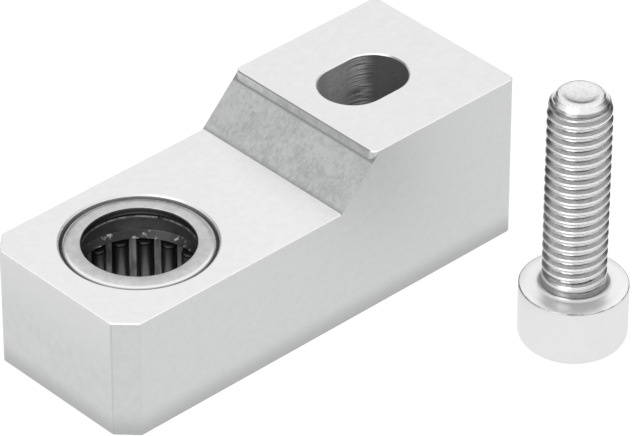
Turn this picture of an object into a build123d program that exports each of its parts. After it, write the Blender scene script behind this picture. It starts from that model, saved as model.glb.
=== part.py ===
from build123d import *

import os
from math import cos, radians, sin, tan

# Counter bearing: an aluminium block with a drawn-cup needle bearing pressed into its low end and a
# slotted screw hole through its raised end, with the cap screw that fastens it standing beside it.
# Millimetres. The origin is on the bearing axis in the mounting plane, +X points to the raised end,
# and +Z up along the bearing axis.

# Block
block_length = 46.5
block_width = 18.1
low_height = 12.0
high_height = 16.7
bearing_from_low_end = 9.7
slope_foot_from_low_end = 25.3
slope_angle = 45.0
brow_height = 0.9
low_corner_chamfer = 1.8
low_corner_softness = 0.4
high_corner_radius = 0.6
brow_corner_radius = 0.7
edge_break = 0.1

# Screw slot
slot_width = 6.4
slot_length = 8.9
slot_from_low_end = 36.4
slot_edge_break = 0.12

# Needle bearing
shaft_diameter = 10.0
roller_count = 16
roller_diameter = 1.5
roller_length = 4.4
roller_end_chamfer = 0.22
first_roller_angle = 44.0
raceway_clearance = 0.03
cup_wall = 0.47
cup_corner_chamfer = 0.35
lip_thickness = 0.7
lip_over_shaft = 0.1
seat_break = 0.15

# Needle cage
cage_end_gap = 0.3
cage_wall = 0.3
cage_guide_gap = 0.1
flange_over_shaft = 0.25
bars_over_shaft = 0.65
bend_length = 0.62
pocket_side_gap = 0.05
pocket_end_gap = 0.08
notch_width = 0.5
notch_depth = 0.55
notch_angle = 28.0

# Cap screw, standing on its head
screw_diameter = 5.8
screw_length = 20.0
head_diameter = 9.8
head_height = 5.9
head_end_chamfer = 0.75
head_rim_break = 0.15
neck_chamfer = 0.35
tip_diameter = 4.2
tip_length = 1.0
tip_shoulder_chamfer = 0.3
dimple_diameter = 2.9
dimple_depth = 0.16
socket_across_flats = 5.0
socket_depth = 3.0
screw_along = 29.45
screw_aside = 24.1

# Places that follow from the sizes above
low_end_x = -bearing_from_low_end
high_end_x = low_end_x + block_length
slope_foot_x = low_end_x + slope_foot_from_low_end
slope_rise = high_height - brow_height - low_height
brow_x = slope_foot_x + slope_rise / tan(radians(slope_angle))
slot_x = low_end_x + slot_from_low_end
roller_radius = roller_diameter / 2
pitch_radius = shaft_diameter / 2 + roller_radius
raceway_radius = pitch_radius + roller_radius + raceway_clearance
cup_radius = raceway_radius + cup_wall
lip_radius = shaft_diameter / 2 + lip_over_shaft
cup_length = low_height
bearing_middle_z = cup_length / 2
screw_from_bearing = (screw_along, -screw_aside)


def ring(outline):
    """The solid of revolution about the bearing axis of a closed outline of (radius, height) points."""
    return revolve(Plane.XZ * make_face(outline), Axis.Z)


def edges_at(shape, x):
    """The upright edges of the shape that stand at this x."""
    return shape.edges().filter_by(Axis.Z).filter_by(lambda edge: abs(edge.center().X - x) < 0.01)


def rim(shape, height, inner=False):
    """The outer edges of the level face at this height, without the slope's foot, or its hole's edges."""
    face = shape.faces().filter_by(Axis.Z).filter_by(lambda one: abs(one.center().Z - height) < 0.01)[0]
    if inner:
        return ShapeList(edge for wire in face.inner_wires() for edge in wire.edges())
    return face.outer_wire().edges().filter_by(lambda edge: abs(edge.center().X - slope_foot_x) > 0.01)


def bearing_block():
    """The milled block, with the bearing's seat through its low end and the screw slot."""
    side = Polyline(
        (low_end_x, 0),
        (high_end_x, 0),
        (high_end_x, high_height),
        (brow_x, high_height),
        (brow_x, high_height - brow_height),
        (slope_foot_x, low_height),
        (low_end_x, low_height),
        close=True,
    )
    block = extrude(Plane.XZ * make_face(side), block_width / 2, both=True)
    block = chamfer(edges_at(block, low_end_x), low_corner_chamfer)
    for x in (low_end_x, low_end_x + low_corner_chamfer):
        block = fillet(edges_at(block, x), low_corner_softness)
    block = fillet(edges_at(block, high_end_x), high_corner_radius)
    block = fillet(edges_at(block, brow_x), brow_corner_radius)
    for height in (0, low_height, high_height):
        block = chamfer(rim(block, height), edge_break)
    seat = Cylinder(cup_radius, low_height, align=(Align.CENTER, Align.CENTER, Align.MIN))
    slot = extrude(SlotOverall(slot_length, slot_width), high_height)
    block -= seat
    block -= Pos(slot_x, 0, 0) * slot
    block = chamfer(rim(block, low_height, inner=True), seat_break)
    block = chamfer(rim(block, high_height, inner=True), slot_edge_break)
    return block


def bearing_cup():
    """The drawn cup: a thin sleeve whose two ends are turned in as lips that hold the cage."""
    low_left = (Align.MIN, Align.MIN)
    shell = Rectangle(cup_radius - lip_radius, cup_length, align=low_left)
    shell = chamfer(shell.vertices().group_by(Axis.X)[-1], cup_corner_chamfer)
    hollow = Rectangle(raceway_radius - lip_radius, cup_length - 2 * lip_thickness, align=low_left)
    section = shell - Pos(0, lip_thickness) * hollow
    return revolve(Plane.XZ * Pos(lip_radius, 0) * section, Axis.Z)


def needle_cage():
    """The formed cage: at each end a flange turned in over a guiding band, and inset bars between."""
    half = cup_length / 2 - lip_thickness - cage_end_gap
    pocket = roller_length / 2 + pocket_end_gap
    flange = shaft_diameter / 2 + flange_over_shaft
    bars = shaft_diameter / 2 + bars_over_shaft
    band = raceway_radius - cage_guide_gap
    bend = pocket + bend_length
    upper = [
        (bars, pocket),
        (band - cage_wall, bend),
        (band - cage_wall, half - cage_wall),
        (flange, half - cage_wall),
        (flange, half),
        (band, half),
        (band, bend),
        (bars + cage_wall, pocket),
    ]
    lower = [(radius, -height) for radius, height in reversed(upper)]
    cage = ring(Polyline(*upper, *lower, close=True))
    opening = Box(
        2 * cup_radius,
        roller_diameter + 2 * pocket_side_gap,
        2 * pocket,
        align=(Align.MIN, Align.CENTER, Align.CENTER),
    )
    for index in range(roller_count):
        cage -= Rot(0, 0, roller_angle(index)) * opening
    notch = Box(2 * cup_radius, notch_width, notch_depth, align=(Align.MIN, Align.CENTER, Align.MAX))
    cage -= Rot(0, 0, notch_angle) * Pos(0, 0, half) * notch
    return Pos(0, 0, bearing_middle_z) * cage


def roller_angle(index):
    """The direction of a roller from the bearing axis, in degrees from +X."""
    return first_roller_angle + index * 360 / roller_count


def needle_roller(index):
    """One needle roller with its ends relieved, in its pocket."""
    roller = Cylinder(roller_radius, roller_length)
    roller = chamfer(roller.edges().filter_by(GeomType.CIRCLE), roller_end_chamfer)
    angle = radians(roller_angle(index))
    return Pos(pitch_radius * cos(angle), pitch_radius * sin(angle), bearing_middle_z) * roller


def mounting_screw():
    """The socket head cap screw, head down, with the thread left as a plain shank."""
    radius = screw_diameter / 2
    top = head_height + screw_length
    outline = Polyline(
        (0, 0),
        (head_diameter / 2, 0),
        (head_diameter / 2, head_height),
        (radius, head_height),
        (radius, top - tip_length),
        (tip_diameter / 2, top),
        (0, top),
        close=True,
    )
    section = make_face(outline)

    def corner(x, y):
        return section.vertices().filter_by(lambda v: abs(v.X - x) < 0.001 and abs(v.Y - y) < 0.001)

    section = chamfer(corner(head_diameter / 2, 0), head_end_chamfer)
    section = chamfer(corner(head_diameter / 2, head_height), head_rim_break)
    section = chamfer(corner(radius, head_height), neck_chamfer)
    section = chamfer(corner(radius, top - tip_length), tip_shoulder_chamfer)
    screw = revolve(Plane.XZ * section, Axis.Z)
    socket = extrude(RegularPolygon(socket_across_flats / 2, 6, major_radius=False), socket_depth)
    dimple = Cone(
        dimple_diameter / 4,
        dimple_diameter / 2,
        dimple_depth,
        align=(Align.CENTER, Align.CENTER, Align.MAX),
    )
    screw = screw - socket - Pos(0, 0, top) * dimple
    return Pos(*screw_from_bearing, 0) * screw


os.makedirs("parts", exist_ok=True)

pieces = {
    "bearing_block": bearing_block(),
    "bearing_cup": bearing_cup(),
    "needle_cage": needle_cage(),
    "mounting_screw": mounting_screw(),
}
for number in range(roller_count):
    pieces[f"needle_roller_{number + 1:02d}"] = needle_roller(number)

for name, piece in pieces.items():
    export_step(piece, f"parts/{name}.step")
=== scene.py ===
import math

import bpy
from mathutils import Matrix, Vector

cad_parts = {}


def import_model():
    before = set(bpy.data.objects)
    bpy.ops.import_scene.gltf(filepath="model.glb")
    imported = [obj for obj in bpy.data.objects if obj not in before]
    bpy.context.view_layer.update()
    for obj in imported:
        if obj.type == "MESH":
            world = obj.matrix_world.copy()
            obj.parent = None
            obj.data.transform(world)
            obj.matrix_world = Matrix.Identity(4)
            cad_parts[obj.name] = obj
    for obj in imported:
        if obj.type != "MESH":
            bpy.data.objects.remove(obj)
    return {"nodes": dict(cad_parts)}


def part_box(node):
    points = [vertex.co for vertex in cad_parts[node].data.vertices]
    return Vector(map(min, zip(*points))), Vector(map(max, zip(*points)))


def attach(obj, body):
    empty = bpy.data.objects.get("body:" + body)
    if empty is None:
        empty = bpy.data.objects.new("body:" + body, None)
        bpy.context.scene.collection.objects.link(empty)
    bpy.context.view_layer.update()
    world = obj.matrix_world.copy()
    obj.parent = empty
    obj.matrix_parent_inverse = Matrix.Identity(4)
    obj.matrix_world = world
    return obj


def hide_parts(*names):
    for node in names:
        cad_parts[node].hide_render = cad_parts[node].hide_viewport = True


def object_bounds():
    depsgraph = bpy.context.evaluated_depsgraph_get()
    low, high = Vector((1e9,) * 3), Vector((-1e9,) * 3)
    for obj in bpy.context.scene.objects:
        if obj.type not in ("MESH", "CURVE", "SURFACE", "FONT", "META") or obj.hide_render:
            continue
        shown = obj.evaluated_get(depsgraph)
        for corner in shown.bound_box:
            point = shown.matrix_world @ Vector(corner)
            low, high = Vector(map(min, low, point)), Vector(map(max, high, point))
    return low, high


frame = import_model()
cad_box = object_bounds()

MM = 0.001

# Where the photograph's camera stands: its eye in the row frame, its heading from +Y towards +X,
# how far it looks down, its roll, and its lens on a 36 mm sensor
CAMERA_EYE_MM = (-236.68, -275.61, 273.71)
CAMERA_HEADING = math.radians(43.073)
CAMERA_DOWN = math.radians(35.531)
CAMERA_ROLL = math.radians(-0.08)
CAMERA_LENS = 294.1
SENSOR_WIDTH = 36.0
CLIP_NEAR, CLIP_FAR = 0.01, 20.0

# Sizes read back from the frame
CUP_LOW, CUP_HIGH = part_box("bearing_cup")
CAGE_LOW, CAGE_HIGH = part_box("needle_cage")
ROLLER_LOW, ROLLER_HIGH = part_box("needle_roller_01")
SCREW_LOW, SCREW_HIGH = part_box("mounting_screw")
CUP_RADIUS = (CUP_HIGH.x - CUP_LOW.x) / 2
CUP_HALF = (CUP_HIGH.z - CUP_LOW.z) / 2
CUP_MIDDLE = (CUP_LOW + CUP_HIGH) / 2
CAGE_HALF = (CAGE_HIGH.z - CAGE_LOW.z) / 2
ROLLER_RADIUS = (ROLLER_HIGH.x - ROLLER_LOW.x) / 2
ROLLER_HALF = (ROLLER_HIGH.z - ROLLER_LOW.z) / 2
SCREW_CENTRE = (SCREW_LOW + SCREW_HIGH) / 2

# The height of the brow's lower edge, and the screw slot, a little larger than its walls
BROW_FOOT = 15.8 * MM
SLOT_X = 26.7 * MM
SLOT_HALF_LENGTH = 4.7 * MM
SLOT_HALF_WIDTH = 3.4 * MM
SLOT_SOFTNESS = 0.97

# The cage's bore, the cup's section and the rollers' ends
CAGE_BORE = 5.25 * MM
LIP_RADIUS = 5.1 * MM
RACEWAY_RADIUS = 6.53 * MM
LIP_THICKNESS = 0.7 * MM
LIP_EDGE = 0.1 * MM
CUP_CORNER = 1.05 * MM
CUP_CORNER_RISE = 0.9 * MM
CUP_INNER_CORNER = 0.12 * MM
CUP_SEGMENTS = 192
ROLLER_END_ROUND = 0.3 * MM
ROLLER_SEGMENTS = 48

# The screw's turned form
SHANK_RADIUS = 2.9 * MM
ROOT_RADIUS = 2.44 * MM
THREAD_PITCH = 1.0 * MM
CREST_SHARE = 0.09
ROOT_SHARE = 0.14
HEAD_RADIUS = (SCREW_HIGH.x - SCREW_LOW.x) / 2
HEAD_HEIGHT = 5.9 * MM
HEAD_ROUND = 1.1 * MM
HEAD_RIM_BREAK = 0.15 * MM
NECK_RADIUS = 0.45 * MM
PLAIN_NECK = 0.75 * MM
RUN_IN = 1.0 * MM
TIP_RADIUS = 2.02 * MM
TIP_CONE = 0.8 * MM
TIP_CONE_RADIUS = 2.72 * MM
TIP_TAPER = 1.9 * MM
TIP_EDGE = 0.12 * MM
DIMPLE_RADIUS = 1.45 * MM
DIMPLE_DEPTH = 0.1 * MM
SOCKET_HALF_FLATS = 2.5 * MM
SOCKET_DEPTH = 3.0 * MM
SOCKET_FLOOR_RISE = 0.25 * MM
SOCKET_FLOOR_EDGE = 0.05 * MM
SOCKET_MOUTH = 1.19 * SOCKET_HALF_FLATS
SCREW_SEGMENTS = 144
ROWS_PER_PITCH = 22

# Greys of the block, from dark to light where a noise blends two, and how much less red they have. The top,
# side, low end and brow greys are one metal painted lighter or darker as light and shade for each face
TOP_GREYS = (0.83, 0.88)
SIDE_GREYS = (0.635, 0.685)
LOW_END_GREYS = (0.58, 0.645)
LOW_END_LIT_GREY = 0.68
LOW_CORNER_SHADE_GREY = 0.47
SLOPE_SHADE_GREYS = (0.43, 0.56)
CREASE_SHADE_GREY = 0.26
BROW_SHADE_GREYS = (0.48, 0.66)
EDGE_HIGHLIGHT_GREY = 1.0
BOTTOM_SHADE_GREY = 0.36
MILLED_GREYS = (0.56, 0.68)
SLOT_FAR_SHADE_GREY = 0.18
SLOT_HIGHLIGHT_GREY = 0.88
SEAT_LIFT_GREY = 0.78
SIDE_TINT = 0.007
HIGH_TINT = 0.003
SLOPE_TINT = 0.006

# Greys of the bearing
CUP_FACE_GREYS = (0.52, 0.60)
CUP_CORNER_HIGHLIGHT_GREY = 0.86
CUP_SEAM_LIFT_GREY = 0.5
CUP_INSIDE_SHADE_GREY = 0.15
CAGE_GREYS = (0.12, 0.22)
BAR_GREYS = (0.09, 0.3)
BEND_SHADE_AND_GLINT_GREYS = (0.04, 0.5)
FLANGE_RIM_HIGHLIGHT_GREYS = (0.45, 1.0)
ROLLER_GREYS = (0.11, 0.17)
ROLLER_END_SHADE_GREY = 0.05

# Greys of the screw
HEAD_WALL_GREYS = (0.74, 0.80)
HEAD_FACE_GREYS = (0.88, 0.96)
HEAD_HALO_SHADE_GREY = 0.6
RIM_LINE_GREY = 0.2
CREST_HIGHLIGHT_GREY = 0.95
FLANK_SHADE_GREYS = (0.15, 0.48)
ROOT_LIFT_GREY = 0.78
TIP_GREYS = (0.6, 0.96)

# Scales of the block's noises, in features per metre
MOTTLE_SCALE = 1100.0
GRAIN_SCALE = 9000.0
BLOTCH_SCALE = 420.0
SCRATCH_SCALE = 2600.0
MILL_SCALE = 1500.0
MILL_WAVE_SCALE = 1150.0

# Scales of the noises of the bearing and the screw, in features per metre
CUP_CLOUD_SCALE = 1200.0
CAGE_CLOUD_SCALE = 1500.0
CAGE_STREAK_SCALE = 900.0
CAGE_PATCH_SCALE = 1050.0
CAGE_BREAK_SCALE = 1600.0
ROLLER_STREAK_SCALE = 2600.0
ZINC_CLOUD_SCALE = 1100.0
ZINC_RIM_LINE_SCALE = 1100.0
ZINC_SCALE = 3200.0
TURNING_SCALE = 5200.0

# Limits of the block's normals between one face's grey and the next, most of them painted light and shade,
# along Z and along X, where a third number is a band's soft width
UPRIGHT_TILT = (0.3, 0.1)
LEVEL_TILT = (0.93, 0.97)
SLOPE_TILT = (0.6, 0.7)
FACING_LOW_X = (-0.6, -0.7)
TURNED_LOW_X = (-0.05, -0.5)
END_X = (-0.94, -0.98)
LOW_CORNER_X = (-0.92, -0.8, 0.06)
SLOT_HIGHLIGHT_X = (-0.4, -0.15, 0.35)

# How fully the block's bands of painted shade and painted highlight cover what is under them
LOW_END_LIT_SHARE = 0.8
LOW_CORNER_SHADE_SHARE = 0.5
CREASE_SHADE_SHARE = 0.8
EDGE_HIGHLIGHT_SHARE = 0.9
BOTTOM_SHADE_SHARE = 0.6

# Heights and places of the block's bands of painted shade and painted light
BOTTOM_SHADE_HEIGHTS = (2.6 * MM, 0.05 * MM)
FOOT_HEIGHTS = (CUP_HIGH.z + 0.35 * MM, CUP_HIGH.z - 0.1 * MM)
CREASE_HEIGHTS = (BROW_FOOT - 0.22 * MM, BROW_FOOT - 0.08 * MM)
LOW_END_HEIGHTS = (5 * MM, CUP_HIGH.z)
SEAT_RADII = (CUP_RADIUS + 0.2 * MM, CUP_RADIUS + 0.15 * MM)
PAST_BEARING_X = (CUP_HIGH.x, CUP_HIGH.x + 2 * MM)
SLOT_FAR_X = (SLOT_X + 0.5 * MM, SLOT_X + 2.5 * MM)

# How metallic and how rough the metals are, before their noises
BLOCK_METAL = 0.82
BLOCK_ROUGHNESS = 0.36
CUP_ROUGHNESS = 0.30
CAGE_METAL = 0.75
CAGE_ROUGHNESS = 0.22
ROLLER_ROUGHNESS = 0.28
ZINC_ROUGHNESS = 0.15

# Angles in degrees over which an edge stays sharp
BEARING_SHARP = 60
SCREW_SHARP = 50

# The floor: its half width, its own grey, and the strength and share of the white that it shows to
# the camera and in reflections
FLOOR_HALF = 3.0
FLOOR_GREY = 0.88
FLOOR_GLOW = 1.12
FLOOR_GLOW_SHARE = 0.8

# The surround's brightness at the horizon and overhead, and the heights between which it rises
SKY_LOW = 0.1
SKY_HIGH = 1.12
SKY_FOOT = 0.2
SKY_TOP = 0.58

# The soft lamp to the left: its place, its width and height, and its power
LAMP_PLACE = (-0.55, -0.1, 0.35)
LAMP_SIZE = (0.4, 0.5)
LAMP_POWER = 1.0


def grey(value, tint=0.0):
    return (value - tint, value, value, 1.0)


class Nodes:
    """A node tree with short calls to add nodes, sums and mixes."""

    def __init__(self, tree):
        self.tree = tree

    def add(self, kind, **settings):
        node = self.tree.nodes.new(kind)
        for key, value in settings.items():
            setattr(node, key, value)
        return node

    def join(self, source, target):
        self.tree.links.new(source, target)

    def feed(self, target, value):
        """Links a socket, or sets a number or colour."""
        if isinstance(value, bpy.types.NodeSocket):
            self.join(value, target)
        else:
            target.default_value = value

    def sum(self, operation, *values):
        node = self.add("ShaderNodeMath", operation=operation)
        for socket, value in zip(node.inputs, values):
            self.feed(socket, value)
        return node.outputs[0]

    def product(self, first, *others):
        for other in others:
            first = self.sum("MULTIPLY", first, other)
        return first

    def most(self, first, *others):
        for other in others:
            first = self.sum("MAXIMUM", first, other)
        return first

    def scaled(self, value, scale, base):
        """The base plus the value times the scale."""
        return self.sum("MULTIPLY_ADD", value, scale, base)

    def without(self, value):
        """One less the value."""
        return self.sum("SUBTRACT", 1.0, value)

    def apart(self, value, centre):
        """The distance between a value and a centre."""
        return self.sum("ABSOLUTE", self.sum("SUBTRACT", value, centre))

    def ramp(self, value, low, high, start=0.0, end=1.0):
        """A smooth step of the value from low to high."""
        node = self.add("ShaderNodeMapRange", interpolation_type="SMOOTHSTEP")
        for socket, number in zip(node.inputs, (value, low, high, start, end)):
            self.feed(socket, number)
        return node.outputs[0]

    def band(self, value, low, high, soft):
        """One between low and high, and nought beyond them by the soft width."""
        rise = self.ramp(value, low - soft, low)
        fall = self.ramp(value, high + soft, high)
        return self.product(rise, fall)

    def blend(self, share, first, second):
        """A mix of two colours."""
        node = self.add("ShaderNodeMix", data_type="RGBA")
        self.feed(node.inputs[0], share)
        self.feed(node.inputs[6], first)
        self.feed(node.inputs[7], second)
        return node.outputs[2]

    def greys(self, share, pair, tint=0.0):
        """A mix of a pair of greys."""
        return self.blend(share, grey(pair[0], tint), grey(pair[1], tint))

    def split(self, vector):
        node = self.add("ShaderNodeSeparateXYZ")
        self.join(vector, node.inputs[0])
        return node.outputs

    def radius(self, x, y, centre_x=0.0, centre_y=0.0):
        """The distance from an upright axis."""
        dx = self.sum("SUBTRACT", x, centre_x)
        dy = self.sum("SUBTRACT", y, centre_y)
        return self.sum("SQRT", self.sum("ADD", self.product(dx, dx), self.product(dy, dy)))


class Shader(Nodes):
    """A material for metal, with noise and bump over the piece's own coordinates."""

    def __init__(self, name):
        self.material = bpy.data.materials.new(name)
        self.material.use_nodes = True
        super().__init__(self.material.node_tree)
        self.bsdf = self.tree.nodes["Principled BSDF"]
        self.place = self.add("ShaderNodeTexCoord")

    def noise(self, scale, detail=3.0, roughness=0.55, stretch=(1, 1, 1), turn=(0, 0, 0)):
        """Noise over the piece, with the scale in features per metre."""
        mapping = self.add("ShaderNodeMapping")
        mapping.inputs["Rotation"].default_value = turn
        mapping.inputs["Scale"].default_value = stretch
        self.join(self.place.outputs["Object"], mapping.inputs["Vector"])
        node = self.add("ShaderNodeTexNoise")
        node.inputs["Scale"].default_value = scale
        node.inputs["Detail"].default_value = detail
        node.inputs["Roughness"].default_value = roughness
        self.join(mapping.outputs[0], node.inputs["Vector"])
        return node.outputs["Fac"]

    def rings(self, radius):
        """Fine turning marks that follow the distance from an axis."""
        turned = self.add("ShaderNodeCombineXYZ")
        self.join(radius, turned.inputs[0])
        node = self.add("ShaderNodeTexNoise")
        node.inputs["Scale"].default_value = TURNING_SCALE
        self.join(turned.outputs[0], node.inputs["Vector"])
        return node.outputs["Fac"]

    def waves(self, scale, distortion):
        """Level milling marks, wavy by the distortion."""
        node = self.add("ShaderNodeTexWave", wave_type="BANDS", bands_direction="Z")
        node.inputs["Scale"].default_value = scale
        node.inputs["Distortion"].default_value = distortion
        self.join(self.place.outputs["Object"], node.inputs["Vector"])
        return node.outputs["Fac"]

    def bump(self, height, strength, distance, under=None):
        node = self.add("ShaderNodeBump")
        self.feed(node.inputs["Strength"], strength)
        node.inputs["Distance"].default_value = distance
        self.feed(node.inputs["Height"], height)
        if under is not None:
            self.join(under, node.inputs["Normal"])
        return node.outputs[0]

    def finish(self, colour, roughness, normal, metallic=1.0):
        self.feed(self.bsdf.inputs["Base Color"], colour)
        self.feed(self.bsdf.inputs["Roughness"], roughness)
        self.feed(self.bsdf.inputs["Metallic"], metallic)
        self.join(normal, self.bsdf.inputs["Normal"])
        return self.material


def aluminium():
    """Satin aluminium: a fine grain, each face painted its own grey as light and shade, a blotchy slope and
    brow painted darker as shade, edges painted with highlights, bands of painted shade and light, and a
    milled slot.
    """
    s = Shader("satin_aluminium")
    x, y, z = s.split(s.place.outputs["Object"])
    nx, _, nz = s.split(s.place.outputs["Normal"])
    mottle = s.ramp(s.noise(MOTTLE_SCALE, detail=5.0, roughness=0.65), 0.3, 0.7)
    grain = s.noise(GRAIN_SCALE, detail=2.0)
    blotches = s.noise(BLOTCH_SCALE, detail=6.0, roughness=0.75)
    scratches = s.noise(SCRATCH_SCALE, roughness=0.6, stretch=(0.3, 1.0, 1.0), turn=(0.3, 0.8, 0.5))
    mill_marks = s.noise(MILL_SCALE, stretch=(0.25, 0.25, 3.5))

    # Which face it is, by its normal and its place
    tilt = s.sum("ABSOLUTE", nz)
    upright = s.ramp(tilt, *UPRIGHT_TILT)
    level = s.ramp(tilt, *LEVEL_TILT)
    facing_low = s.ramp(nx, *FACING_LOW_X)
    turned_low = s.ramp(nx, *TURNED_LOW_X)
    past_bearing = s.ramp(x, *PAST_BEARING_X)
    slope = s.product(facing_low, s.ramp(nz, *SLOPE_TILT), past_bearing)
    brow = s.product(facing_low, upright, past_bearing)
    beside = s.ramp(s.sum("ABSOLUTE", y), SLOT_HALF_WIDTH, SLOT_HALF_WIDTH * SLOT_SOFTNESS)
    along = s.ramp(s.apart(x, SLOT_X), SLOT_HALF_LENGTH, SLOT_HALF_LENGTH * SLOT_SOFTNESS)
    slot = s.product(beside, along, upright)
    edge = s.without(s.most(upright, level, slope))
    near_seat = s.ramp(s.radius(x, y), *SEAT_RADII)
    lifted_seat = s.product(near_seat, s.without(level))

    # Darker and brighter bands: painted shade, painted highlights and painted light, and the slope's wear
    bottom_shade = s.ramp(z, *BOTTOM_SHADE_HEIGHTS)
    foot_shade = s.ramp(z, *FOOT_HEIGHTS)
    crease_shade = s.ramp(z, *CREASE_HEIGHTS)
    slot_far_shade = s.ramp(x, *SLOT_FAR_X)
    slot_wall_highlight = s.product(s.band(nx, *SLOT_HIGHLIGHT_X), s.ramp(mill_marks, 0.35, 0.65))
    low_corner_shade = s.product(s.band(nx, *LOW_CORNER_X), s.without(past_bearing))
    lit_top_of_end = s.product(s.ramp(nx, *END_X), s.ramp(z, *LOW_END_HEIGHTS))
    scuffs = s.scaled(scratches, 0.8, s.product(grain, 0.6))
    worn = s.ramp(s.sum("ADD", blotches, scuffs), 0.95, 1.38)

    # Each face is one metal painted its own grey as light and shade: the top lightest, then the sides, then
    # the low end
    sides = s.greys(mottle, SIDE_GREYS, SIDE_TINT)
    ends = s.greys(mottle, LOW_END_GREYS, SIDE_TINT)
    # Painted light: the upper part of the low end is lighter
    ends = s.blend(s.product(lit_top_of_end, LOW_END_LIT_SHARE), ends, grey(LOW_END_LIT_GREY, HIGH_TINT))
    # Painted shade: a dark line on the rounded corner into the low end
    ends = s.blend(s.product(low_corner_shade, LOW_CORNER_SHADE_SHARE), ends, grey(LOW_CORNER_SHADE_GREY, SIDE_TINT))
    # The slope is painted darker as shade; its real wear of blotches and scuffs picks between a darker and a
    # lighter shaded grey
    slope_shade_and_wear = s.greys(worn, SLOPE_SHADE_GREYS, SLOPE_TINT)
    # Painted shade in the creases at the slope's foot and where the slope meets the brow
    creased_shade = s.product(s.most(foot_shade, crease_shade), CREASE_SHADE_SHARE)
    slope_shade_and_wear = s.blend(creased_shade, slope_shade_and_wear, grey(CREASE_SHADE_GREY, SLOPE_TINT))
    # The slot's milled walls, with painted shade at their far end
    milled = s.blend(slot_far_shade, s.greys(mill_marks, MILLED_GREYS), grey(SLOT_FAR_SHADE_GREY))
    # Painted highlight, streaked by the milling marks, on the slot's walls that face a little towards the low
    # end
    milled = s.blend(slot_wall_highlight, milled, grey(SLOT_HIGHLIGHT_GREY))
    colour = s.blend(upright, s.greys(mottle, TOP_GREYS), s.blend(turned_low, sides, ends))
    colour = s.blend(slope, colour, slope_shade_and_wear)
    # The brow is painted darker as shade, mottled
    colour = s.blend(brow, colour, s.greys(mottle, BROW_SHADE_GREYS, SLOPE_TINT))
    # The edges between the faces are painted bright as a highlight
    colour = s.blend(s.product(edge, EDGE_HIGHLIGHT_SHARE), colour, grey(EDGE_HIGHLIGHT_GREY))
    # Painted shade: the block darkens over its lowest few millimetres, towards the floor
    colour = s.blend(s.product(bottom_shade, BOTTOM_SHADE_SHARE), colour, grey(BOTTOM_SHADE_GREY, SLOPE_TINT))
    colour = s.blend(slot, colour, milled)
    # Painted light: the bore's wall round the cup is painted lighter to lift the shade in the groove
    colour = s.blend(lifted_seat, colour, grey(SEAT_LIFT_GREY))

    roughness = s.scaled(slot, -0.10, s.scaled(mottle, 0.12, BLOCK_ROUGHNESS))
    fine = s.bump(grain, 0.12, 0.02 * MM)
    coarse = s.bump(blotches, s.scaled(slope, 0.5, 0.05), 0.06 * MM, under=fine)
    marks = s.bump(s.waves(MILL_WAVE_SCALE, distortion=3.0), s.product(slot, 0.4), 0.03 * MM, under=coarse)
    return s.finish(colour, roughness, marks, s.scaled(slot, -0.30, BLOCK_METAL))


def drawn_steel():
    """The cup: a pale face with turning marks, a rolled corner painted with a highlight, an outer edge
    painted a flat grey with less metal to lift its dark line, and an inside painted dark as shade.
    """
    s = Shader("drawn_cup_steel")
    x, y, z = s.split(s.place.outputs["Object"])
    radius = s.radius(x, y)
    inside = s.ramp(s.apart(z, CUP_MIDDLE.z), CUP_HALF - 0.15 * MM, CUP_HALF - 0.3 * MM)
    corner = s.ramp(radius, CUP_RADIUS - 0.7 * MM, CUP_RADIUS - 0.4 * MM)
    seam = s.ramp(radius, CUP_RADIUS - 0.3 * MM, CUP_RADIUS - 0.05 * MM)
    cloud = s.noise(CUP_CLOUD_SCALE, detail=4.0)
    colour = s.greys(s.ramp(cloud, 0.35, 0.65), CUP_FACE_GREYS)
    # The rolled corner is painted bright as a highlight
    colour = s.blend(corner, colour, grey(CUP_CORNER_HIGHLIGHT_GREY))
    # Painted light: the outer edge is a flat grey with less metal, to lift its dark line
    colour = s.blend(seam, colour, grey(CUP_SEAM_LIFT_GREY))
    # Painted shade: the inside of the cup is dark
    colour = s.blend(inside, colour, grey(CUP_INSIDE_SHADE_GREY))
    normal = s.bump(s.rings(radius), 0.12, 0.02 * MM)
    roughness = s.scaled(corner, -0.16, s.scaled(cloud, 0.12, CUP_ROUGHNESS))
    return s.finish(colour, roughness, normal, s.scaled(seam, -0.7, 1.0))


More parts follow.
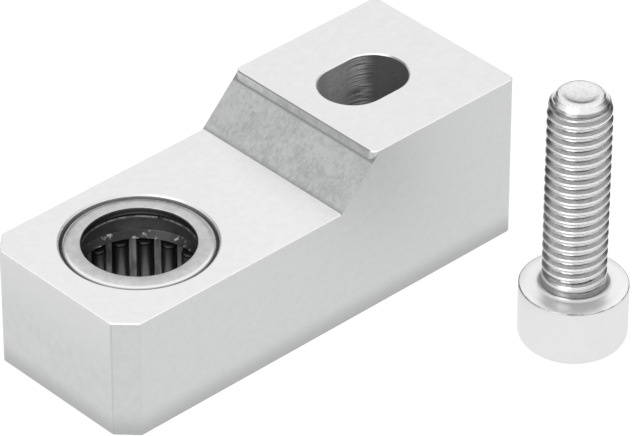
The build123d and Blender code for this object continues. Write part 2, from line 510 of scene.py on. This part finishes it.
def cage_steel():
    """The cage: dark sheet under oil, with streaked bars, bends painted dark as shade with spots of painted
    highlight, and a rim painted with a broken highlight.
    """
    s = Shader("dark_cage_steel")
    x, y, z = s.split(s.place.outputs["Object"])
    height = s.apart(z, CUP_MIDDLE.z)
    cloud = s.noise(CAGE_CLOUD_SCALE, detail=4.0)
    streaks = s.ramp(s.noise(CAGE_STREAK_SCALE, stretch=(1, 1, 0.25)), 0.35, 0.65)
    patches = s.ramp(s.noise(CAGE_PATCH_SCALE, detail=4.0, roughness=0.65), 0.54, 0.66)
    breaks = s.ramp(s.noise(CAGE_BREAK_SCALE), 0.4, 0.6)
    bars = s.ramp(height, ROLLER_HALF + 0.3 * MM, ROLLER_HALF - 0.1 * MM)
    bends = s.band(height, ROLLER_HALF + 0.1 * MM, ROLLER_HALF + 0.65 * MM, 0.1 * MM)
    turned_in = s.ramp(s.radius(x, y), CAGE_BORE + 0.12 * MM, CAGE_BORE + 0.04 * MM)
    rim = s.product(turned_in, s.ramp(height, CAGE_HALF - 0.2 * MM, CAGE_HALF - 0.1 * MM))
    colour = s.greys(cloud, CAGE_GREYS)
    colour = s.blend(bars, colour, s.greys(streaks, BAR_GREYS))
    # The bends are painted dark as shade, with spots of painted highlight where the noise is high
    colour = s.blend(bends, colour, s.greys(patches, BEND_SHADE_AND_GLINT_GREYS))
    # The flange's inner rim is painted bright as a broken highlight
    colour = s.blend(rim, colour, s.greys(breaks, FLANGE_RIM_HIGHLIGHT_GREYS))
    normal = s.bump(cloud, 0.15, 0.03 * MM)
    return s.finish(colour, s.scaled(cloud, 0.2, CAGE_ROUGHNESS), normal, CAGE_METAL)


def roller_steel():
    """The needle rollers: ground steel with a faint grind along the length and round ends painted dark as
    shade.
    """
    s = Shader("ground_roller_steel")
    along = s.split(s.place.outputs["Object"])[2]
    streaks = s.noise(ROLLER_STREAK_SCALE, stretch=(1, 1, 0.08))
    ends = s.ramp(s.sum("ABSOLUTE", along), ROLLER_HALF - 0.38 * MM, ROLLER_HALF - 0.22 * MM)
    # The round ends are painted dark as shade
    colour = s.blend(ends, s.greys(streaks, ROLLER_GREYS), grey(ROLLER_END_SHADE_GREY))
    normal = s.bump(streaks, 0.08, 0.01 * MM)
    roughness = s.scaled(streaks, 0.12, s.scaled(ends, 0.1, ROLLER_ROUGHNESS))
    return s.finish(colour, roughness, normal)


def zinc():
    """The screw: bright zinc plate with rings on the bearing face, thread crests painted as highlights,
    flanks painted dark as shade, roots painted paler to lift their shade, and a scaly tip.
    """
    s = Shader("bright_zinc")
    x, y, z = s.split(s.place.outputs["Object"])
    radius = s.radius(x, y, SCREW_CENTRE.x, SCREW_CENTRE.y)
    cloud = s.noise(ZINC_CLOUD_SCALE, detail=4.0)
    scaly = s.noise(ZINC_SCALE, detail=4.0, roughness=0.7)
    rim_breaks = s.ramp(s.noise(ZINC_RIM_LINE_SCALE), 0.25, 0.75)

    # The head: its wall, its bearing face with a halo of painted shade round the shank, and the face's rim
    face = s.ramp(z, HEAD_HEIGHT - 0.1 * MM, HEAD_HEIGHT)
    halo = s.ramp(radius, SHANK_RADIUS + 0.6 * MM, SHANK_RADIUS + 0.15 * MM)
    near_rim = s.ramp(z, HEAD_HEIGHT - 0.14 * MM, HEAD_HEIGHT - 0.06 * MM)
    rim = s.product(near_rim, s.ramp(radius, HEAD_RADIUS - 0.13 * MM, HEAD_RADIUS - 0.08 * MM))
    plate = s.blend(face, s.greys(cloud, HEAD_WALL_GREYS), s.greys(cloud, HEAD_FACE_GREYS))

    # The thread from the neck to the tip: crests painted bright as highlights, flanks painted dark as shade
    # over the zinc's scale, and roots painted paler to lift their shade
    above = s.ramp(z, HEAD_HEIGHT + 0.1 * MM, HEAD_HEIGHT + 0.3 * MM)
    neck = s.ramp(z, HEAD_HEIGHT + PLAIN_NECK + 0.5 * MM, HEAD_HEIGHT + PLAIN_NECK)
    flank = s.ramp(radius, SHANK_RADIUS - 0.02 * MM, SHANK_RADIUS - 0.12 * MM)
    root = s.ramp(radius, ROOT_RADIUS + 0.12 * MM, ROOT_RADIUS + 0.01 * MM)
    tip = s.ramp(z, SCREW_HIGH.z - 0.35 * MM, SCREW_HIGH.z - 0.2 * MM)
    groove = s.blend(root, s.greys(scaly, FLANK_SHADE_GREYS), grey(ROOT_LIFT_GREY))
    thread = s.blend(s.most(flank, neck), grey(CREST_HIGHLIGHT_GREY), groove)

    # Painted shade in a ring round the shank on the bearing face
    colour = s.blend(s.product(halo, face), plate, grey(HEAD_HALO_SHADE_GREY))
    colour = s.blend(above, colour, thread)
    colour = s.blend(tip, colour, s.greys(scaly, TIP_GREYS))
    # A dark line along the head's rim, broken by noise
    colour = s.blend(s.product(rim, rim_breaks), colour, grey(RIM_LINE_GREY))
    marks = s.bump(s.rings(radius), s.scaled(face, 0.35, 0.15), 0.03 * MM)
    normal = s.bump(scaly, s.scaled(tip, 0.35, 0.1), 0.05 * MM, under=marks)
    roughness = s.scaled(s.without(above), 0.16, s.scaled(cloud, 0.12, ZINC_ROUGHNESS))
    return s.finish(colour, roughness, normal)


def arc(centre_radius, centre_height, reach, start, end, steps, rise=None):
    """Points of (radius, height) along an arc in degrees, which is an ellipse where its rise is given."""
    rise = reach if rise is None else rise
    points = []
    for i in range(steps + 1):
        angle = math.radians(start + (end - start) * i / steps)
        points.append((centre_radius + reach * math.cos(angle), centre_height + rise * math.sin(angle)))
    return points


def lathe(name, rows, centre, segments, reach, ring):
    """A closed mesh of rows round an upright axis: a ring, or a body whose end rows are on the axis."""
    inner = rows if ring else rows[1:-1]
    points = []
    for row in inner:
        for i in range(segments):
            radius = reach(row, i / segments)
            angle = i / segments * 2 * math.pi
            points.append((centre.x + radius * math.cos(angle), centre.y + radius * math.sin(angle), row[-1]))
    faces = []
    for row in range(len(inner) if ring else len(inner) - 1):
        low, high = row * segments, (row + 1) % len(inner) * segments
        for i in range(segments):
            j = (i + 1) % segments
            faces.append((low + i, high + i, high + j, low + j))
    if not ring:
        first, last = len(points), len(points) + 1
        points += [(centre.x, centre.y, rows[0][-1]), (centre.x, centre.y, rows[-1][-1])]
        top = (len(inner) - 1) * segments
        for i in range(segments):
            j = (i + 1) % segments
            faces += [(first, i, j), (top + i, last, top + j)]
    mesh = bpy.data.meshes.new(name)
    mesh.from_pydata([Vector(point) for point in points], [], faces)
    mesh.update()
    return mesh


def shown(name, mesh, body, replaced, sharp):
    """An object that rides a body in place of its CAD node, smooth but for edges over the sharp angle."""
    for polygon in mesh.polygons:
        polygon.use_smooth = True
    mesh.set_sharp_from_angle(angle=math.radians(sharp))
    piece = bpy.data.objects.new(name, mesh)
    bpy.context.scene.collection.objects.link(piece)
    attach(piece, body)
    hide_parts(replaced)
    return piece


def turned_radius(row, turns):
    """The radius of a row that is the same at every angle."""
    return row[0]


def cup():
    """The drawn cup with its rolled outer corners and rounded lip edges."""
    low, high = CUP_LOW.z, CUP_HIGH.z
    upper, lower = high - LIP_THICKNESS, low + LIP_THICKNESS
    outer = CUP_RADIUS - CUP_CORNER
    inner = RACEWAY_RADIUS - CUP_INNER_CORNER
    lip = LIP_RADIUS + LIP_EDGE
    rows = arc(outer, low + CUP_CORNER_RISE, CUP_CORNER, -90, 0, 14, CUP_CORNER_RISE)
    rows += arc(outer, high - CUP_CORNER_RISE, CUP_CORNER, 0, 90, 14, CUP_CORNER_RISE)
    rows += arc(lip, high - LIP_EDGE, LIP_EDGE, 90, 180, 4)
    rows += arc(lip, upper + LIP_EDGE, LIP_EDGE, 180, 270, 4)
    rows += arc(inner, upper - CUP_INNER_CORNER, CUP_INNER_CORNER, 90, 0, 4)
    rows += arc(inner, lower + CUP_INNER_CORNER, CUP_INNER_CORNER, 0, -90, 4)
    rows += arc(lip, lower - LIP_EDGE, LIP_EDGE, 90, 180, 4)
    rows += arc(lip, low + LIP_EDGE, LIP_EDGE, 180, 270, 4)
    mesh = lathe("drawn_cup", rows, CUP_MIDDLE, CUP_SEGMENTS, turned_radius, ring=True)
    mesh.materials.append(drawn_steel())
    shown("drawn_cup", mesh, "housing", "bearing_cup", BEARING_SHARP)


def rollers():
    """The rollers with their rounded ends, each in the place of its CAD node."""
    flat = ROLLER_RADIUS - ROLLER_END_ROUND
    rows = [(0.0, -ROLLER_HALF)]
    rows += arc(flat, -ROLLER_HALF + ROLLER_END_ROUND, ROLLER_END_ROUND, -90, 0, 7)
    rows += arc(flat, ROLLER_HALF - ROLLER_END_ROUND, ROLLER_END_ROUND, 0, 90, 7)
    rows += [(0.0, ROLLER_HALF)]
    mesh = lathe("rounded_roller", rows, Vector(), ROLLER_SEGMENTS, turned_radius, ring=False)
    mesh.materials.append(roller_steel())
    for node in sorted(frame["nodes"]):
        if node.startswith("needle_roller_"):
            number = node[-2:]
            low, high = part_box(node)
            name, body = f"rounded_roller_{number}", f"roller_{number}"
            piece = shown(name, mesh, body, node, BEARING_SHARP)
            piece.location = (low + high) / 2


def share_of(value):
    """The value held between nought and one."""
    return min(max(value, 0.0), 1.0)


def thread_radius(height, turns):
    """The screw's radius in the threaded stretch, at a height and an angle in turns."""
    phase = (height / THREAD_PITCH - turns) % 1.0
    depth = share_of((abs(phase - 0.5) * 2 - CREST_SHARE) / (1 - CREST_SHARE - ROOT_SHARE))
    run_in = share_of((height - HEAD_HEIGHT - PLAIN_NECK) / RUN_IN)
    radius = SHANK_RADIUS - (SHANK_RADIUS - ROOT_RADIUS) * depth * run_in
    below = SCREW_HIGH.z - height
    if below < TIP_CONE:
        return min(radius, TIP_RADIUS + (TIP_CONE_RADIUS - TIP_RADIUS) * below / TIP_CONE)
    if below < TIP_TAPER:
        share = (below - TIP_CONE) / (TIP_TAPER - TIP_CONE)
        return min(radius, TIP_CONE_RADIUS + (SHANK_RADIUS - TIP_CONE_RADIUS) * share)
    return radius


def screw_reach(row, turns):
    """The radius of a screw row: turned, or one that follows the thread or the hexagon socket."""
    kind, radius, height = row
    if kind == "thread":
        return thread_radius(height, turns)
    if kind == "turn":
        return radius
    sixth = math.pi / 3
    angle = (turns * 2 * math.pi) % sixth - sixth / 2
    return radius * SOCKET_HALF_FLATS / math.cos(angle)


def screw_rows():
    """The screw's section from the socket's floor round the outside to the tip's dimple."""
    top = SCREW_HIGH.z
    rows = [("hex", 0.0, SOCKET_DEPTH + SOCKET_FLOOR_RISE), ("hex", 0.98, SOCKET_DEPTH)]
    rows += [("hex", 1.0, SOCKET_DEPTH - SOCKET_FLOOR_EDGE)]
    rows += [("hex", 1.0, share * SOCKET_DEPTH) for share in (0.7, 0.4, 0.12)]
    turned = [(SOCKET_MOUTH, 0.0)]
    turned += arc(HEAD_RADIUS - HEAD_ROUND, HEAD_ROUND, HEAD_ROUND, -90, 0, 10)
    turned += [(HEAD_RADIUS, HEAD_HEIGHT * share) for share in (0.3, 0.5, 0.75)]
    turned += arc(HEAD_RADIUS - HEAD_RIM_BREAK, HEAD_HEIGHT - HEAD_RIM_BREAK, HEAD_RIM_BREAK, 0, 90, 4)
    turned += [(SHANK_RADIUS + 1.2 * MM, HEAD_HEIGHT)]
    turned += arc(SHANK_RADIUS + NECK_RADIUS, HEAD_HEIGHT + NECK_RADIUS, NECK_RADIUS, 270, 180, 8)
    rows += [("turn", radius, height) for radius, height in turned]
    start = HEAD_HEIGHT + PLAIN_NECK
    stretch = top - TIP_EDGE - start
    count = int(stretch / THREAD_PITCH * ROWS_PER_PITCH)
    rows += [("thread", 0.0, start + stretch * i / count) for i in range(count + 1)]
    turned = arc(TIP_RADIUS - TIP_EDGE * 0.8, top - TIP_EDGE, TIP_EDGE, 30, 90, 3)
    turned += [(DIMPLE_RADIUS + 0.1 * MM, top), (DIMPLE_RADIUS, top - 0.03 * MM)]
    turned += [(DIMPLE_RADIUS * 0.7, top - DIMPLE_DEPTH * 0.8), (DIMPLE_RADIUS * 0.4, top - DIMPLE_DEPTH)]
    rows += [("turn", radius, height) for radius, height in turned]
    return rows + [("turn", 0.0, top - DIMPLE_DEPTH)]


def cap_screw():
    """The cap screw with its thread, its hexagon socket and its dimpled tip."""
    mesh = lathe("threaded_cap_screw", screw_rows(), SCREW_CENTRE, SCREW_SEGMENTS, screw_reach, ring=False)
    mesh.materials.append(zinc())
    shown("threaded_cap_screw", mesh, "housing", "mounting_screw", SCREW_SHARP)


def dress_frame():
    """Gives their finish to the CAD nodes that show as they are."""
    for name, finish in (("bearing_block", aluminium()), ("needle_cage", cage_steel())):
        piece = frame["nodes"][name]
        piece.data.materials.clear()
        piece.data.materials.append(finish)


def floor():
    """A plain floor, white to the camera and in reflections, that keeps a soft shadow."""
    mesh = bpy.data.meshes.new("floor")
    half = FLOOR_HALF
    corners = [(-half, -half, 0), (half, -half, 0), (half, half, 0), (-half, half, 0)]
    mesh.from_pydata([Vector(corner) for corner in corners], [], [(0, 1, 2, 3)])
    piece = bpy.data.objects.new("floor", mesh)
    bpy.context.scene.collection.objects.link(piece)
    material = bpy.data.materials.new("floor_white")
    material.use_nodes = True
    s = Nodes(material.node_tree)
    base = s.tree.nodes["Principled BSDF"]
    base.inputs["Base Color"].default_value = grey(FLOOR_GREY)
    base.inputs["Roughness"].default_value = 0.9
    glow = s.add("ShaderNodeEmission")
    glow.inputs["Strength"].default_value = FLOOR_GLOW
    path = s.add("ShaderNodeLightPath").outputs
    seen = s.most(path["Is Camera Ray"], path["Is Glossy Ray"], path["Is Transmission Ray"])
    mix = s.add("ShaderNodeMixShader")
    s.feed(mix.inputs[0], s.product(seen, FLOOR_GLOW_SHARE))
    s.join(base.outputs[0], mix.inputs[1])
    s.join(glow.outputs[0], mix.inputs[2])
    s.join(mix.outputs[0], s.tree.nodes["Material Output"].inputs["Surface"])
    mesh.materials.append(material)


def world():
    """A white sky over a dim horizon, as in a light tent with open sides, and white to the camera."""
    surround = bpy.data.worlds.new("studio")
    bpy.context.scene.world = surround
    surround.use_nodes = True
    s = Nodes(surround.node_tree)
    light = s.tree.nodes["Background"]
    up = s.split(s.add("ShaderNodeTexCoord").outputs["Generated"])[2]
    s.feed(light.inputs["Strength"], s.ramp(up, SKY_FOOT, SKY_TOP, SKY_LOW, SKY_HIGH))
    light.inputs["Color"].default_value = grey(1.0)
    white = s.add("ShaderNodeBackground")
    white.inputs["Color"].default_value = grey(1.0)
    path = s.add("ShaderNodeLightPath").outputs
    mix = s.add("ShaderNodeMixShader")
    s.join(path["Is Camera Ray"], mix.inputs[0])
    s.join(light.outputs[0], mix.inputs[1])
    s.join(white.outputs[0], mix.inputs[2])
    s.join(mix.outputs[0], s.tree.nodes["World Output"].inputs["Surface"])


def lamp():
    """A soft lamp that faces the middle of the part."""
    light = bpy.data.lights.new("left_light", "AREA")
    light.shape = "RECTANGLE"
    light.size, light.size_y = LAMP_SIZE
    light.energy = LAMP_POWER
    piece = bpy.data.objects.new("left_light", light)
    target = (cad_box[0] + cad_box[1]) / 2
    piece.location = Vector(LAMP_PLACE)
    piece.rotation_mode = "QUATERNION"
    piece.rotation_quaternion = (target - piece.location).to_track_quat("-Z", "Y")
    bpy.context.scene.collection.objects.link(piece)


def camera():
    """The photograph's camera."""
    level = Vector((math.cos(CAMERA_HEADING), -math.sin(CAMERA_HEADING), 0.0))
    ahead = Vector((math.sin(CAMERA_HEADING), math.cos(CAMERA_HEADING), 0.0))
    forward = ahead * math.cos(CAMERA_DOWN) - Vector((0, 0, 1)) * math.sin(CAMERA_DOWN)
    down = forward.cross(level)
    right = level * math.cos(CAMERA_ROLL) + down * math.sin(CAMERA_ROLL)
    up = level * math.sin(CAMERA_ROLL) - down * math.cos(CAMERA_ROLL)
    turn = Matrix((right, up, -forward)).transposed()
    data = bpy.data.cameras.new("camera")
    data.sensor_fit = "HORIZONTAL"
    data.sensor_width = SENSOR_WIDTH
    data.lens = CAMERA_LENS
    data.clip_start, data.clip_end = CLIP_NEAR, CLIP_FAR
    piece = bpy.data.objects.new("camera", data)
    piece.matrix_world = Matrix.Translation(Vector(CAMERA_EYE_MM) * MM) @ turn.to_4x4()
    bpy.context.scene.collection.objects.link(piece)
    bpy.context.scene.camera = piece


dress_frame()
cup()
rollers()
cap_screw()
floor()
world()
lamp()
camera()
bpy.context.scene.view_settings.view_transform = "Standard"
